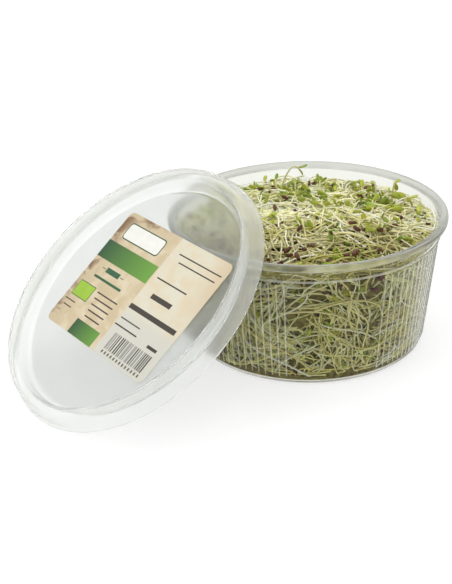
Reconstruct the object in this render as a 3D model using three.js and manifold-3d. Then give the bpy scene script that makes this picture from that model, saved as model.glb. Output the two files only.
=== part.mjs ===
// Round plastic tub filled with alfalfa sprouts, its labelled lid leaning on the rim.
// Millimetres, +Z up. The origin is the centre of the tub's flat base, on the surface it stands on.
import * as THREE from 'three';
import { mergeVertices } from 'three/addons/utils/BufferGeometryUtils.js';
import Module from 'manifold-3d';

// Tub
const tubHeight = 56.4;
const rimRadius = 58.5;
const lipHeight = 2.8;
const neckRadius = 55.6;
const stepHeight = 48.4;
const baseRadius = 49.8;
const wallThickness = 0.8;
const cornerRadius = 2.5;
const floorTop = 1.0;
const tubSides = 54;

// Upright ribs on the wall: an even pitch all round, left out in two smooth windows
const ribCount = 108;
const ribPitch = 360 / ribCount;
const ribWidth = 0.7;
const ribProud = 0.4;
const windowMiddles = [8.3, 188.3];
const windowWidth = 42;

// Lid: a rounded bead, a skirt that flares outwards and a sunk panel
const beadOuter = 58.5;
const beadInner = 53.9;
const skirtDepth = 8.4;
const skirtRadius = 60.6;
const panelDepth = 7.5;
const panelRadius = 53.0;
const lidSides = 48;

// How the lid leans: its tilt, the way its slope runs, and how far it has slid along the rim
const lidTilt = THREE.MathUtils.degToRad(38.4);
const lidTurn = THREE.MathUtils.degToRad(-57.9);
const lidSlide = -2.4;
const restGap = 0.4;

// Label on the lid's panel
const labelWidth = 75;
const labelHeight = 57;
const labelThickness = 0.4;
const labelCorner = 3;
const labelTurn = THREE.MathUtils.degToRad(2.5);
const labelShift = 1.8;

// Sprouts: clearance to the tub, the core's cover, and the sizes of stems, leaves and hulls
const clearance = 0.3;
const coreCover = 4.0;
const stemRadius = 0.62;
const heapStemRadius = 0.75;
const stemSteps = 4;
const rootSunk = 1.5;
const topStems = 90;
const sideStems = 9;
const topHulls = 22;
const sideHulls = 4;
const headShare = 0.26;
const leafSize = new THREE.Vector3(1.25, 0.5, 2.1);
const hullSize = new THREE.Vector3(1.05, 0.9, 1.6);
const leafSpread = 0.62;

// Sprouts that stand clear of the heap: place of the foot, height of the head, lean and its bearing
const standing = [
    { x: -10.3, y: 34, top: 62.0, lean: 8, bearing: 10 },
    { x: -11.9, y: 22.4, top: 57.2, lean: 5, bearing: 160 },
    { x: -3.3, y: 26.8, top: 56.4, lean: 3, bearing: 90 },
    { x: 17.1, y: 35.6, top: 55.0, lean: 5, bearing: -20 },
    { x: 31.4, y: 19.8, top: 57.9, lean: 3, bearing: 100 },
    { x: 37.4, y: 16.5, top: 59.5, lean: 4, bearing: 60 },
    { x: 39.6, y: 5.8, top: 57.3, lean: 4, bearing: 20 },
    { x: 27.0, y: 20.6, top: 55.8, lean: 4, bearing: -60 },
    { x: -25, y: 30, top: 56.5, lean: 5, bearing: 200 },
    { x: -34, y: 18, top: 56.0, lean: 6, bearing: 130 },
    { x: 16, y: 16, top: 58.5, lean: 7, bearing: -40 },
    { x: -8, y: 14, top: 59.5, lean: 8, bearing: 210 },
    { x: 26, y: -14, top: 59.0, lean: 7, bearing: 250 },
    { x: 2, y: -22, top: 59.5, lean: 8, bearing: 300 },
];

const wasm = await Module();
wasm.setup();

let seed = 4181;

// The next of a fixed run of random numbers between 0 and 1
function random() {
    seed = (seed * 16807) % 2147483647;
    return seed / 2147483647;
}

// Keeps only the positions of a shape and joins the vertices that lie together
function bare(geometry) {
    geometry.deleteAttribute('normal');
    geometry.deleteAttribute('uv');
    return mergeVertices(geometry, 1e-4);
}

function toSolid(geometry) {
    const merged = bare(geometry);
    return new wasm.Manifold(new wasm.Mesh({
        numProp: 3,
        vertProperties: Float32Array.from(merged.attributes.position.array),
        triVerts: Uint32Array.from(merged.index.array),
    }));
}

function toGeometry(solid) {
    const mesh = solid.getMesh();
    const geometry = new THREE.BufferGeometry();
    geometry.setAttribute('position', new THREE.BufferAttribute(mesh.vertProperties, 3));
    geometry.setIndex(new THREE.BufferAttribute(mesh.triVerts, 1));
    geometry.computeVertexNormals();
    return geometry;
}

// The largest body of a solid, without loose scraps and sealed hollows
function largestBody(solid) {
    const bodies = solid.decompose();
    return bodies.reduce((best, body) => (body.volume() > best.volume() ? body : best));
}

// A turned solid about +Z from a profile of [radius, height] points that starts and ends on the axis
function turned(profile, sides) {
    const points = profile.map(([r, z]) => new THREE.Vector2(r, z));
    return new THREE.LatheGeometry(points, sides).rotateX(Math.PI / 2);
}

// Outer radius of the tapered wall at a height
function wallRadius(z) {
    return baseRadius + (neckRadius - 0.4 - baseRadius) * z / stepHeight;
}

// Inner radius of the tub at a height, with the neck above the step
function innerRadius(z) {
    const wall = wallRadius(Math.min(z, stepHeight)) - wallThickness;
    return z > stepHeight ? wall + 0.3 : wall;
}

// Tub: wall, step ring, neck and rolled lip in one profile
function makeTub() {
    const lipBottom = tubHeight - lipHeight;
    const lipMiddle = (rimRadius + neckRadius) / 2;
    const outer = [
        [0, 0],
        [baseRadius - cornerRadius, 0],
        [baseRadius - 0.3, cornerRadius],
        [wallRadius(stepHeight - 0.6), stepHeight - 0.6],
        [neckRadius + 0.3, stepHeight],
        [neckRadius, stepHeight + 0.6],
        [neckRadius, lipBottom],
        [rimRadius - 0.3, lipBottom],
        [rimRadius, tubHeight - 0.9],
        [lipMiddle + 0.6, tubHeight],
        [lipMiddle - 0.8, tubHeight],
    ];
    const inner = [
        [innerRadius(tubHeight), tubHeight - 1.1],
        [innerRadius(stepHeight), stepHeight],
        [innerRadius(3), floorTop + 1.6],
        [innerRadius(3) - 1.6, floorTop],
        [0, floorTop],
    ];
    const shell = turned([...outer, ...inner], tubSides).rotateZ(Math.PI / ribCount);
    let tub = toSolid(shell);
    for (let i = 0; i < ribCount; i++) {
        if (inWindow(i * ribPitch)) continue;
        tub = tub.add(toSolid(makeRib(i * ribPitch)));
    }
    return toGeometry(tub);
}

// True where a bearing, in degrees from the front towards +X, falls in a smooth window
function inWindow(bearing) {
    return windowMiddles.some((middle) => {
        const off = Math.abs(((bearing - middle) % 360 + 540) % 360 - 180);
        return off < windowWidth / 2;
    });
}

// One upright rib: a slim wedge along the wall, sunk into its face
function makeRib(bearing) {
    const low = cornerRadius + 0.8;
    const high = stepHeight - 1.0;
    const section = new THREE.Shape([
        new THREE.Vector2(-0.35, -ribWidth / 2 - 0.15),
        new THREE.Vector2(ribProud, -ribWidth / 4),
        new THREE.Vector2(ribProud, ribWidth / 4),
        new THREE.Vector2(-0.35, ribWidth / 2 + 0.15),
    ]);
    const flat = Math.cos(Math.PI / tubSides) / Math.cos(Math.PI / ribCount);
    const foot = wallRadius(low) * flat;
    const head = wallRadius(high) * flat;
    const rib = new THREE.ExtrudeGeometry(section, { depth: high - low, bevelEnabled: false });
    const place = rib.attributes.position;
    for (let i = 0; i < place.count; i++) {
        const along = place.getZ(i) / (high - low);
        place.setX(i, place.getX(i) + foot + (head - foot) * along);
    }
    rib.translate(0, 0, low);
    return rib.rotateZ(THREE.MathUtils.degToRad(bearing - 90));
}

// Lid in its own frame: the bead's top at z = 0, +Z the outer face
function makeLid() {
    const under = -(panelDepth + wallThickness);
    const middle = (beadOuter + beadInner) / 2;
    return bare(turned([
        [0, under],
        [panelRadius + 0.8, under],
        [beadInner + 1.0, -1.9],
        [middle, -1.0],
        [beadOuter - 0.8, -1.9],
        [skirtRadius - 1.1, -skirtDepth],
        [skirtRadius, -skirtDepth],
        [skirtRadius - 0.5, -skirtDepth + 1.2],
        [beadOuter, -1.2],
        [beadOuter - 1.3, 0],
        [beadInner + 1.3, 0],
        [beadInner, -1.2],
        [panelRadius, -panelDepth + 0.6],
        [panelRadius - 1.4, -panelDepth],
        [0, -panelDepth],
    ], lidSides));
}

// Label: a thin sheet with rounded corners, just over the lid's panel
function makeLabel() {
    const w = labelWidth / 2;
    const h = labelHeight / 2;
    const c = labelCorner;
    const sheet = new THREE.Shape();
    sheet.absarc(w - c, h - c, c, 0, Math.PI / 2);
    sheet.absarc(-w + c, h - c, c, Math.PI / 2, Math.PI);
    sheet.absarc(-w + c, -h + c, c, Math.PI, Math.PI * 1.5);
    sheet.absarc(w - c, -h + c, c, Math.PI * 1.5, Math.PI * 2);
    const solid = new THREE.ExtrudeGeometry(sheet, {
        depth: labelThickness,
        bevelEnabled: false,
        curveSegments: 4,
    });
    solid.rotateZ(labelTurn);
    solid.translate(0, labelShift, -panelDepth + clearance);
    return bare(solid);
}

// Stands the lid on its skirt's lowest edge, with the panel's underside against the tub's rim
function leanLid(lid) {
    const sin = Math.sin(lidTilt);
    const cos = Math.cos(lidTilt);
    const rim = rimRadius * sin + tubHeight * cos;
    const lift = rim + panelDepth + wallThickness + restGap;
    const climb = (skirtDepth * cos + skirtRadius * sin - lift * cos) / sin;
    lid.rotation.set(lidTilt, 0, lidTurn, 'ZXY');
    lid.position.set(lidSlide, climb, lift).applyEuler(lid.rotation);
}

// Height of the heap over a point: domed, higher at the front than at the back, a little uneven
function heapTop(x, y) {
    const out = Math.hypot(x, y) / 53;
    const uneven = 0.7 * Math.sin(x / 8 + 1) * Math.cos(y / 7) + 0.5 * Math.sin(x / 4.3 - y / 5.1);
    return 55.2 - 4.6 * out * out - 0.05 * y + uneven;
}

function coreTop(x, y) {
    return heapTop(x, y) - coreCover;
}

// Widest radius at which the middle of a round piece clears the tub's wall
function reachRadius(z, half) {
    return innerRadius(z) - clearance - half - 0.1;
}

// The room inside the tub that the heap may fill, open above
function makeRoom() {
    const floor = floorTop + clearance;
    return turned([
        [0, floor],
        [innerRadius(3) - 1.9, floor],
        [innerRadius(3) - clearance, floor + 1.7],
        [innerRadius(stepHeight) - clearance, stepHeight],
        [innerRadius(stepHeight) - clearance, tubHeight + 20],
        [0, tubHeight + 20],
    ], tubSides);
}

// Core of the heap: a packed body with an uneven top, hidden by what stands out of it
function makeCore() {
    const floor = floorTop + clearance + 0.05;
    const side = 2.5 + clearance;
    const rings = [49, 38, 24, 10];
    const profile = [
        [0, floor],
        [innerRadius(3) - 3.4, floor],
        [innerRadius(5) - side, 5],
        [innerRadius(43) - side, 43],
    ];
    rings.forEach((r) => profile.push([r, 50]));
    profile.push([0, 50]);
    const core = turned(profile, 28);
    const place = core.attributes.position;
    for (let i = 0; i < place.count; i++) {
        if (place.getZ(i) > 46) place.setZ(i, coreTop(place.getX(i), place.getY(i)));
    }
    return core;
}

// A stem: a three-sided bar along a smooth curve through the points
function makeStem(points, radius, sides, steps) {
    const section = new THREE.Shape();
    for (let i = 0; i < sides; i++) {
        const angle = 2 * Math.PI * i / sides;
        const corner = [radius * Math.cos(angle), radius * Math.sin(angle)];
        if (i === 0) section.moveTo(...corner);
        else section.lineTo(...corner);
    }
    section.closePath();
    const path = new THREE.CatmullRomCurve3(points);
    return new THREE.ExtrudeGeometry(section, { steps, extrudePath: path, bevelEnabled: false });
}

// A flattened or rounded seed shape with its length along one way and its flat side facing another
function makeSeed(size, middle, along, face) {
    const forward = along.clone().normalize();
    const across = new THREE.Vector3().crossVectors(face, forward).normalize();
    const up = new THREE.Vector3().crossVectors(forward, across);
    const turn = new THREE.Matrix4().makeBasis(across, up, forward).setPosition(middle);
    const seedShape = new THREE.SphereGeometry(1, 6, 2).rotateY(Math.PI / 6);
    return seedShape.scale(size.x, size.y, size.z).applyMatrix4(turn);
}

// A way at random
function randomWay() {
    const bearing = random() * 2 * Math.PI;
    const slope = random() * 1.4 - 0.7;
    const level = Math.cos(slope);
    return new THREE.Vector3(Math.cos(bearing) * level, Math.sin(bearing) * level, Math.sin(slope));
}

// A pair of seed leaves, opened like a book, at the head of a stem
function makeLeaves(head, way, side, size) {
    const forward = way.clone().normalize();
    const hinge = new THREE.Vector3().crossVectors(forward, side).normalize();
    const open = new THREE.Vector3().crossVectors(hinge, forward);
    return [leafSpread, -leafSpread].map((angle) => {
        const along = forward.clone().multiplyScalar(Math.cos(angle)).addScaledVector(open, Math.sin(angle));
        const face = open.clone().multiplyScalar(Math.cos(angle)).addScaledVector(forward, -Math.sin(angle));
        const middle = head.clone().addScaledVector(along, size.z - 0.5);
        return makeSeed(size, middle.addScaledVector(open, Math.sign(angle) * 0.2), along, face);
    });
}

// Places of the points along a stem that wanders over the heap and dips into it
function topRoute(reach, half) {
    const out = 47 * Math.sqrt(random());
    const from = random() * 2 * Math.PI;
    let x = out * Math.cos(from);
    let y = out * Math.sin(from);
    const heading = random() * 2 * Math.PI;
    const bend = (random() - 0.5) * 2.4;
    const length = 19 + 11 * random();
    const rise = 1.0 + 4.6 * random();
    const points = [];
    const steps = 6;
    for (let i = 0; i <= steps; i++) {
        const t = i / steps;
        const lift = -rootSunk + (rise + rootSunk) * Math.sin(Math.PI * reach * t);
        const limit = reachRadius(48, half);
        const far = Math.max(1, Math.hypot(x, y) / limit);
        x /= far;
        y /= far;
        points.push(new THREE.Vector3(x, y, coreTop(x, y) + lift));
        x += Math.cos(heading + bend * t) * length / steps;
        y += Math.sin(heading + bend * t) * length / steps;
    }
    return points;
}

// Places of the points along a stem pressed against the inside of the wall
function sideRoute() {
    const from = random() * 2 * Math.PI;
    const low = 4 + 36 * random();
    const turn = (0.25 + 0.5 * random()) * (random() < 0.5 ? -1 : 1);
    const climb = (random() - 0.5) * 30;
    const sag = (random() - 0.5) * 10;
    const points = [];
    const steps = 6;
    for (let i = 0; i <= steps; i++) {
        const t = i / steps;
        const high = low + climb * t + sag * Math.sin(Math.PI * t);
        const z = Math.min(Math.max(high, 3.5), 45);
        const tuck = i === 0 || i === steps ? 3.2 : 0;
        const r = reachRadius(z, heapStemRadius) - tuck;
        const angle = from + turn * t;
        points.push(new THREE.Vector3(r * Math.cos(angle), r * Math.sin(angle), z));
    }
    return points;
}

// Places of the points along a sprout that stands out of the heap and nods at its head
function standingRoute({ x, y, top, lean, bearing }) {
    const angle = THREE.MathUtils.degToRad(bearing);
    const low = coreTop(x, y) - 4;
    const high = top - low;
    const steps = [[0, 0], [0.1, 0.4], [0.35, 0.75], [0.75, 1], [1.15, 0.96]];
    return steps.map(([away, up]) => new THREE.Vector3(
        x + Math.cos(angle) * lean * away,
        y + Math.sin(angle) * lean * away,
        low + high * up,
    ));
}

// One standing sprout: a stem with its pair of leaves
function makeStanding(sprout) {
    const route = standingRoute(sprout);
    const head = route[route.length - 1];
    const way = head.clone().sub(route[route.length - 2]);
    const stem = makeStem(route, stemRadius, 4, 6);
    return join([stem, ...makeLeaves(head, way, new THREE.Vector3(0, 0, 1), leafSize)].map(toSolid));
}

// The room that a standing sprout needs in the heap: a plain hole for its stem and a round one for its leaves
function makeHole(sprout) {
    const route = standingRoute(sprout);
    const head = route[route.length - 1];
    const way = head.clone().sub(route[route.length - 2]).normalize();
    route[0].z -= clearance;
    const stem = makeStem(route, stemRadius + clearance + 0.1, 4, 7);
    const round = new THREE.SphereGeometry(2 * leafSize.z + 0.2, 6, 4);
    const room = round.translate(...head.clone().addScaledVector(way, leafSize.z - 0.6).toArray());
    return join([stem, room].map(toSolid));
}

function join(solids) {
    return solids.reduce((whole, solid) => whole.add(solid));
}

// Heap: the core with every stem, leaf and hull that is fused to it
function makeHeap() {
    const pieces = [toSolid(makeCore())];
    for (let i = 0; i < topStems; i++) {
        const headed = random() < headShare;
        const route = topRoute(headed ? 0.64 : 1, headed ? 3.6 : heapStemRadius);
        pieces.push(toSolid(makeStem(route, heapStemRadius, 3, stemSteps)));
        const side = randomWay();
        const head = route[route.length - 1];
        const way = head.clone().sub(route[route.length - 2]);
        if (headed) makeLeaves(head, way, side, leafSize).forEach((leaf) => pieces.push(toSolid(leaf)));
    }
    for (let i = 0; i < sideStems; i++) {
        pieces.push(toSolid(makeStem(sideRoute(), heapStemRadius, 3, stemSteps)));
    }
    for (let i = 0; i < topHulls; i++) {
        const out = 48 * Math.sqrt(random());
        const angle = random() * 2 * Math.PI;
        const x = out * Math.cos(angle);
        const y = out * Math.sin(angle);
        const middle = new THREE.Vector3(x, y, coreTop(x, y) + 0.5);
        pieces.push(toSolid(makeSeed(hullSize, middle, randomWay(), new THREE.Vector3(0.1, 0.2, 1))));
    }
    for (let i = 0; i < sideHulls; i++) {
        const angle = random() * 2 * Math.PI;
        const z = 5 + 38 * random();
        const out = new THREE.Vector3(Math.cos(angle), Math.sin(angle), 0);
        const middle = out.clone().multiplyScalar(reachRadius(z, hullSize.x)).setZ(z);
        pieces.push(toSolid(makeSeed(hullSize, middle, new THREE.Vector3(0, 0, 1), out)));
    }
    const filled = join(pieces).intersect(toSolid(makeRoom()));
    return toGeometry(largestBody(filled.subtract(join(standing.map(makeHole)))));
}

const clearPlastic = { color: 0xdfe3dc, roughness: 0.32, metalness: 0, transparent: true, opacity: 0.35 };
const paperPrint = { color: 0xd9c8a0, roughness: 0.55, metalness: 0 };
const paleStems = { color: 0xd3d2a0, roughness: 0.5, metalness: 0 };
const greenSprout = { color: 0x9caf4a, roughness: 0.5, metalness: 0 };

function named(name, geometry, look) {
    const mesh = new THREE.Mesh(geometry, new THREE.MeshStandardMaterial(look));
    mesh.name = name;
    return mesh;
}

const group = new THREE.Group();
group.add(named('tub', makeTub(), clearPlastic));

const lidGroup = new THREE.Group();
lidGroup.add(named('lid', makeLid(), clearPlastic));
lidGroup.add(named('label', makeLabel(), paperPrint));
leanLid(lidGroup);
group.add(lidGroup);

group.add(named('sprout_heap', makeHeap(), paleStems));
standing.forEach((sprout, i) => {
    const name = `sprout_${String(i + 1).padStart(2, '0')}`;
    group.add(named(name, toGeometry(makeStanding(sprout)), greenSprout));
});

export default group;
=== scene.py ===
import math

import bmesh
import bpy
import numpy as np
from bpy.props import FloatProperty, FloatVectorProperty, IntProperty, PointerProperty
from mathutils import Matrix, Vector


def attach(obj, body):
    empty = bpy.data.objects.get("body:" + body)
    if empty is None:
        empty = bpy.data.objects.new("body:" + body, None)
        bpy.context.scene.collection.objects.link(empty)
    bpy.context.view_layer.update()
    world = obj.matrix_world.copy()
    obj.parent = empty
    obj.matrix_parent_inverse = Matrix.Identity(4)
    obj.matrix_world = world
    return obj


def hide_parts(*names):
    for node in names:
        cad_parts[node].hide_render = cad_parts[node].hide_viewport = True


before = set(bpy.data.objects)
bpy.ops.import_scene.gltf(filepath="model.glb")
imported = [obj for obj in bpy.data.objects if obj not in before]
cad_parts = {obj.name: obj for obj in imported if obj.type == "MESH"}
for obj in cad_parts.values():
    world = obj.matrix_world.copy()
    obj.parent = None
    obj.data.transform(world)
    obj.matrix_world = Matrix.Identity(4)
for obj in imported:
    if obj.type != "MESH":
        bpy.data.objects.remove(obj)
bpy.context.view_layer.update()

bl_info = {
    "name": "Tub of sprouts",
    "version": (1, 0, 0),
    "blender": (4, 5, 0),
    "location": "View3D > Sidebar > Sprouts",
    "description": "Builds a round tub heaped with sprouts, with its labelled lid leaning on the rim",
    "category": "Object",
}

MM = 0.001

# Tub, in millimetres
TUB_HEIGHT = 56.4
RIM_RADIUS = 58.5
NECK_RADIUS = 55.6
STEP_HEIGHT = 48.4
BASE_RADIUS = 49.8
CORNER_RADIUS = 2.5
FLOOR_TOP = 1.0
SOLID_WALL = 0.8
RIB_PITCH = 360 / 108
WINDOW_MIDDLES = (8.3, 188.3)
WINDOW_WIDTH = 42.0

# Lid, in millimetres and degrees
LID_TILT = math.radians(38.4)
LID_TURN = math.radians(-57.9)
LID_SLIDE = -2.4
REST_GAP = 0.4
SKIRT_DEPTH = 8.4
SKIRT_RADIUS = 60.6
PANEL_DEPTH = 7.5
LID_WALL = 0.8

# Label, in millimetres
LABEL_WIDTH = 75.0
LABEL_HEIGHT = 57.0
LABEL_TURN = math.radians(2.5)
LABEL_SHIFT = 1.8
LABEL_LIFT = 0.03
LABEL_THICK = 0.15
LABEL_CORNER = 3.0
PRINT_THICK = 0.02
PRINT_LEVEL = LABEL_LIFT + LABEL_THICK + 0.01
UPPER_PRINT = PRINT_LEVEL + 0.03
BAR_SEED = 77

# Heap and sprouts, in millimetres. A standing sprout is x, y, top, lean and bearing.
HEAP_MIDDLE = 55.2
HEAP_FALL = 4.6
HEAP_RADIUS = 53.0
HEAP_EDGE = 48.0
CLEARANCE = 0.3
CORE_COVER = 4.0
STANDING = (
    (-10.3, 34, 62.0, 8, 10), (-11.9, 22.4, 57.2, 5, 160), (-3.3, 26.8, 56.4, 3, 90),
    (17.1, 35.6, 55.0, 5, -20), (31.4, 19.8, 57.9, 3, 100), (37.4, 16.5, 59.5, 4, 60),
    (39.6, 5.8, 57.3, 4, 20), (27.0, 20.6, 55.8, 4, -60), (-25, 30, 56.5, 5, 200),
    (-34, 18, 56.0, 6, 130), (16, 16, 58.5, 7, -40), (-8, 14, 59.5, 8, 210),
    (26, -14, 59.0, 7, 250), (2, -22, 59.5, 8, 300),
)
HEAD_SHARE = 0.26
CAD_TOP_STEMS = 90
CAD_SIDE_STEMS = 9
CAD_STEPS = 12
LOOSE_STEPS = 13
LOOP_STEPS = 18
CAD_GIRTH = 0.46
CAD_SEED = 4181
TOP_SEED = 9257
SIDE_SEED = 6011
STANDING_SEED = 311
TOP_GAIN = (1.36, 1.36, 1.44)
# Painted light: the stems behind the wall are brightened more than those on top, for the light that the
# wall holds back from them.
SIDE_PAINTED_LIGHT = (1.55, 1.45, 1.25)
# Painted shade: how strongly stems at the heap's front are darkened towards the shaded stem colour.
FRONT_SHADE = 0.9
PALEST_STEM = (0.90, 0.89, 0.68)

# Stage
FLOOR_GREY = 0.36
FLOOR_GLOW = 0.70
WORLD_LIGHT = 0.9
LIT_PLACE = (-0.03, 0, 0.03)


def colour_setting(name, description, *default):
    return FloatVectorProperty(name=name, description=description, subtype="COLOR", default=default)


def count_setting(name, description, default):
    return IntProperty(name=name, description=description, default=default)


class TubSettings(bpy.types.PropertyGroup):
    wall: FloatProperty(
        name="Wall", description="Thickness of the tub's wall", default=0.00065, unit="LENGTH")
    rib_proud: FloatProperty(
        name="Rib height", description="How far a rib stands out", default=0.00022, unit="LENGTH")
    steps: count_setting("Steps", "Faces round the tub", 1080)
    colour: colour_setting("Plastic", "Colour of the milky plastic", 0.82, 0.825, 0.765)
    edge_colour: colour_setting("Edge", "Colour of the lip", 0.66, 0.67, 0.62)
    rib_colour: colour_setting("Rib", "Colour of the step and the ribs' crests", 0.90, 0.90, 0.80)
    haze: FloatProperty(
        name="Haze", description="Roughness that blurs what lies behind it", default=0.12, subtype="FACTOR")
    edge_haze: FloatProperty(
        name="Edge haze", description="Roughness of lip, step and ribs", default=0.4, subtype="FACTOR")


class LidSettings(bpy.types.PropertyGroup):
    steps: count_setting("Steps", "Faces round the lid", 360)
    panel_colour: colour_setting("Panel", "Colour of the sunk panel", 0.79, 0.81, 0.785)
    ring_colour: colour_setting("Ring", "Colour of the bead and skirt", 0.95, 0.96, 0.94)
    haze: FloatProperty(
        name="Haze", description="Roughness of the lid's panel", default=0.2, subtype="FACTOR")
    ring_haze: FloatProperty(
        name="Ring haze", description="Roughness of the bead and skirt", default=0.26, subtype="FACTOR")


class LabelSettings(bpy.types.PropertyGroup):
    kraft: colour_setting("Kraft", "Tan paper of the left half", 0.57, 0.46, 0.28)
    cream: colour_setting("Cream", "Paler paper of the right half", 0.68, 0.645, 0.51)
    dark_green: colour_setting("Dark green", "Dark end of the band", 0.012, 0.07, 0.018)
    bright_green: colour_setting("Bright green", "Bright end of the band", 0.13, 0.32, 0.03)


class SproutSettings(bpy.types.PropertyGroup):
    top_stems: count_setting("Stems on top", "Loose stems on top of the heap", 1600)
    clump: count_setting("Bundle", "Stems that run side by side", 7)
    side_stems: count_setting("Stems at the wall", "Loose stems behind the wall", 1780)
    top_leaves: count_setting("Leaf pairs on top", "Pairs of seed leaves on top", 260)
    side_leaves: count_setting("Leaf pairs at the wall", "Pairs of seed leaves behind the wall", 210)
    loops: count_setting("Loops", "Long pale stems that curl over the others", 60)
    risers: count_setting("Risers", "Small sprouts that stand up out of the heap", 44)
    top_hulls: count_setting("Hulls on top", "Seed hulls on top", 85)
    side_hulls: count_setting("Hulls at the wall", "Seed hulls behind the wall", 80)
    stem_colour: colour_setting("Stem", "Pale stem", 0.76, 0.70, 0.33)
    stem_green: colour_setting("Green stem", "Stem near its leaves", 0.58, 0.57, 0.14)
    # Painted shade: stems at the heap's front are mixed towards this colour, for the shade in the hollow
    # there.
    shaded_stem_colour: colour_setting("Stem in painted shade", "Stem in the hollow at the heap's front", 0.36, 0.30, 0.07)
    leaf_yellow: colour_setting("Yellow leaf", "Youngest leaves", 0.52, 0.52, 0.05)
    leaf_green: colour_setting("Green leaf", "Older leaves", 0.16, 0.29, 0.035)
    hull_colour: colour_setting("Hull", "Seed hull", 0.10, 0.027, 0.008)
    core_colour: colour_setting("Shade", "Depth of the heap between the stems", 0.23, 0.20, 0.065)


class StageSettings(bpy.types.PropertyGroup):
    camera_distance: FloatProperty(
        name="Distance", description="Camera's distance along Y", default=0.5, unit="LENGTH")
    camera_side: FloatProperty(
        name="Side", description="Camera's place along X", default=-0.03509, unit="LENGTH")
    camera_height: FloatProperty(
        name="Height", description="Camera's height", default=0.26215, unit="LENGTH")
    camera_pitch: FloatProperty(
        name="Pitch", description="How far the camera looks down", default=math.radians(25.975),
        subtype="ANGLE")
    camera_roll: FloatProperty(
        name="Roll", description="Turn about the line of sight", default=math.radians(-1.58),
        subtype="ANGLE")
    lens: FloatProperty(name="Lens", description="Focal length in millimetres", default=79.31)


class Run:
    """A fixed run of random numbers between 0 and 1."""

    def __init__(self, seed):
        self.state = seed

    def next(self):
        self.state = self.state * 16807 % 2147483647
        return self.state / 2147483647

    def between(self, low, high):
        return low + (high - low) * self.next()

    def bearing(self):
        return self.next() * 2 * math.pi

    def side(self):
        return -1 if self.next() < 0.5 else 1

    def spot(self, radius):
        """A place in a round of this radius, spread evenly over it."""
        return polar(radius * math.sqrt(self.next()), self.bearing())


def polar(out, angle):
    return out * math.cos(angle), out * math.sin(angle)


def clamped(value):
    return min(1.0, max(0.0, value))


# Shared modelling helpers

def deselect_all():
    if bpy.context.object and bpy.context.object.mode != "OBJECT":
        bpy.ops.object.mode_set(mode="OBJECT")
    bpy.ops.object.select_all(action="DESELECT")


def choose(obj):
    deselect_all()
    obj.select_set(True)
    bpy.context.view_layer.objects.active = obj


def join_all(objects):
    choose(objects[0])
    if len(objects) > 1:
        for each in objects:
            each.select_set(True)
        bpy.ops.object.join()
    return bpy.context.object


def apply_place(obj):
    choose(obj)
    bpy.ops.object.transform_apply(location=True, rotation=True, scale=True)


def close_edit():
    """Turns all faces outwards and leaves edit mode."""
    bpy.ops.mesh.select_all(action="SELECT")
    bpy.ops.mesh.normals_make_consistent(inside=False)
    bpy.ops.object.mode_set(mode="OBJECT")


def settle(obj, name, material, node):
    """Names a finished piece, gives it its material and hands it to the frame."""
    obj.name = name
    obj.data.name = name
    obj.data.materials.clear()
    for each in material if isinstance(material, (list, tuple)) else [material]:
        obj.data.materials.append(each)
    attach(obj, "root")
    if node:
        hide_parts(node)


def turn_profile(profile, steps):
    """A closed turned shell: a ring of edges extruded from point to point of a profile in mm."""
    deselect_all()
    first = profile[1]
    bpy.ops.mesh.primitive_circle_add(vertices=steps, radius=first[0] * MM, fill_type="TRIFAN",
                                      location=(0, 0, first[1] * MM))
    obj = bpy.context.object
    apply_place(obj)
    bpy.ops.object.mode_set(mode="EDIT")
    bpy.ops.mesh.select_mode(type="EDGE")
    bpy.ops.mesh.select_all(action="DESELECT")
    mesh = bmesh.from_edit_mesh(obj.data)
    for vertex in mesh.verts:
        if vertex.co.xy.length < first[0] * MM / 2:
            vertex.co.z = profile[0][1] * MM
    for edge in mesh.edges:
        if edge.is_boundary:
            edge.select = True
    bmesh.update_edit_mesh(obj.data)
    before = first
    for point in profile[2:-1]:
        bpy.ops.mesh.extrude_region_move(
            TRANSFORM_OT_translate={"value": (0, 0, (point[1] - before[1]) * MM)})
        grow = point[0] / before[0]
        bpy.ops.transform.resize(value=(grow, grow, 1), center_override=(0, 0, point[1] * MM))
        before = point
    bpy.ops.mesh.extrude_region_move(
        TRANSFORM_OT_translate={"value": (0, 0, (profile[-1][1] - before[1]) * MM)})
    bpy.ops.mesh.merge(type="CENTER")
    close_edit()
    return obj


def arc(centre_r, centre_z, radius, start, end, steps):
    """Points of a round in a profile, between two angles in degrees."""
    angles = [math.radians(start + (end - start) * i / steps) for i in range(steps + 1)]
    return [(centre_r + radius * math.cos(a), centre_z + radius * math.sin(a)) for a in angles]


def smooth(obj, degrees):
    choose(obj)
    bpy.ops.object.shade_smooth_by_angle(angle=math.radians(degrees))


# Materials

def new_material(name):
    material = bpy.data.materials.new(name)
    material.use_nodes = True
    return material, material.node_tree, material.node_tree.nodes["Principled BSDF"]


def set_inputs(tree, node, values):
    """Gives each named input of a node a number, a colour or a link from another node's output."""
    for name, value in values.items():
        if isinstance(value, bpy.types.NodeSocket):
            tree.links.new(value, node.inputs[name])
        else:
            node.inputs[name].default_value = (*value, 1) if hasattr(value, "__len__") else value


def add_node(tree, kind, values, **fields):
    node = tree.nodes.new("ShaderNode" + kind)
    for name, value in fields.items():
        setattr(node, name, value)
    set_inputs(tree, node, values)
    return node


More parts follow.
